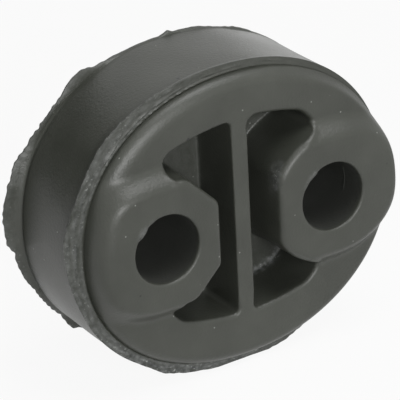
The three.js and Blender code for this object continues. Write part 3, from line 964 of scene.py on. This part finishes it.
floor = sheet("studio_floor", [(x * FLOOR_HALF, y * FLOOR_HALF, 0) for x, y in ((-1, -1), (1, -1), (1, 1), (-1, 1))])
paper = bpy.data.materials.new("white_studio_paper")
tree = empty_tree(paper)
lit = node(tree, "ShaderNodeBsdfDiffuse", Color=linear("#e4e4e2"))
glow = node(tree, "ShaderNodeEmission", Color=linear("#ffffff"), Strength=1.0)
part_glow = node(tree, "ShaderNodeMath", {0: seen_directly(tree)}, operation="MULTIPLY")
part_glow.inputs[1].default_value = PAPER_GLOW
mixed = node(tree, "ShaderNodeMixShader", {0: part_glow.outputs[0], 1: lit.outputs[0], 2: glow.outputs[0]})
node(tree, "ShaderNodeOutputMaterial", {"Surface": mixed.outputs[0]})
floor.data.materials.append(paper)
print("Floor of", 2 * FLOOR_HALF, "m a side")

# %% [markdown]
# ## The light
#
# The light is that of a product studio: soft, plain and from the front and above. One softbox hangs
# overhead, a little to the right, and one stands in front, a little to the left. A small one stands
# low behind the right and gives the top of the side wall its glare. The world is dim for the light
# that falls on the rubber, and white where it is seen or mirrored.

# %% World and lamps
AMBIENT = 0.12
# The lamps aim at the middle of the rubber.
middle = Vector((0, 0, 0.027))
world = bpy.data.worlds.new("studio_world")
bpy.context.scene.world = world
tree = empty_tree(world)
strength = node(tree, "ShaderNodeMapRange", {"Value": seen_directly(tree)}, To_Min=AMBIENT, To_Max=1.0)
sky = node(tree, "ShaderNodeBackground", {"Strength": strength.outputs["Result"]}, Color=linear("#ffffff"))
node(tree, "ShaderNodeOutputWorld", {"Surface": sky.outputs[0]})


def softbox(name, azimuth, elevation, distance, size, watts):
    """A square area lamp that faces the rubber. Azimuth 0 is in front of it and 90 to its right."""
    light = bpy.data.lights.new(name, "AREA")
    light.size, light.energy = size, watts
    lamp = bpy.data.objects.new(name, light)
    a, e = math.radians(azimuth), math.radians(elevation)
    towards = Vector((math.sin(a) * math.cos(e), -math.cos(a) * math.cos(e), math.sin(e)))
    facing = towards.to_track_quat("Z", "Y").to_matrix().to_4x4()
    lamp.matrix_world = Matrix.Translation(middle + towards * distance) @ facing
    bpy.context.scene.collection.objects.link(lamp)


softbox("overhead_softbox", azimuth=30, elevation=72, distance=0.8, size=0.45, watts=3.3)
softbox("front_softbox", azimuth=-13, elevation=18, distance=0.9, size=0.38, watts=4.8)
softbox("right_rear_softbox", azimuth=138, elevation=3, distance=0.9, size=0.16, watts=0.16)

# %% [markdown]
# ## The dark card
#
# A studio is never white all round. This one was dark low behind the rubber's left, and the left of
# the side wall mirrors that. A black card stands there for it. Only glossy rays see it, so it takes
# no light away and throws no shadow.

# %% Dark card
CARD_HALF_WIDTH, CARD_LOW, CARD_HIGH = 0.27, 0.03, 0.42
CARD_X, CARD_Y, CARD_TURN = -0.26, 0.32, 38
card = sheet("dark_card", [(-CARD_HALF_WIDTH, 0, CARD_LOW), (CARD_HALF_WIDTH, 0, CARD_LOW),
                           (CARD_HALF_WIDTH, 0, CARD_HIGH), (-CARD_HALF_WIDTH, 0, CARD_HIGH)])
turned_card = Matrix.Rotation(math.radians(CARD_TURN), 4, "Z")
card.matrix_world = Matrix.Translation((CARD_X, CARD_Y, 0)) @ turned_card
for ray in ("camera", "diffuse", "shadow", "transmission", "volume_scatter"):
    setattr(card, "visible_" + ray, False)
black = bpy.data.materials.new("black_card")
tree = empty_tree(black)
dark = node(tree, "ShaderNodeBsdfDiffuse", Color=linear("#0c0c0c"))
node(tree, "ShaderNodeOutputMaterial", {"Surface": dark.outputs[0]})
card.data.materials.append(black)
print("Card from", CARD_LOW, "to", CARD_HIGH, "m high")

# %% [markdown]
# ## The camera
#
# The rubber was seen from 31 degrees to its left and 25 degrees above, from 0.43 m away, through a
# long lens, and the camera leaned 3 degrees. A camera's own matrix has its right, up and backward
# directions as columns, so those three are worked out and written into it.

# %% Camera
AZIMUTH, ELEVATION, LEAN = math.radians(31.218), math.radians(25.185), math.radians(-3.1)
DISTANCE = 433.907 * MM
AIM = Vector((np.array([-9.782, 0.0, 7.052]) + place) * MM)
IMAGE_SIDE, FOCAL_PIXELS, SENSOR = 400, 2699.116, 36.0

flat = math.cos(ELEVATION)
back = Vector((-math.sin(AZIMUTH) * flat, -math.cos(AZIMUTH) * flat, math.sin(ELEVATION)))
level_right = Vector((math.cos(AZIMUTH), -math.sin(AZIMUTH), 0))
level_up = back.cross(level_right)
right = level_right * math.cos(LEAN) + level_up * math.sin(LEAN)
up = level_up * math.cos(LEAN) - level_right * math.sin(LEAN)

lens = bpy.data.cameras.new("photo_camera")
lens.sensor_width = SENSOR
lens.lens = FOCAL_PIXELS / IMAGE_SIDE * SENSOR
lens.clip_start, lens.clip_end = 0.01, 10
camera = bpy.data.objects.new("photo_camera", lens)
turned = Matrix((right, up, back)).transposed()
camera.matrix_world = Matrix.Translation(AIM + back * DISTANCE) @ turned.to_4x4()
bpy.context.scene.collection.objects.link(camera)
bpy.context.scene.camera = camera
bpy.context.scene.view_settings.view_transform = "Standard"
print("Lens of", round(lens.lens, 1), "mm")
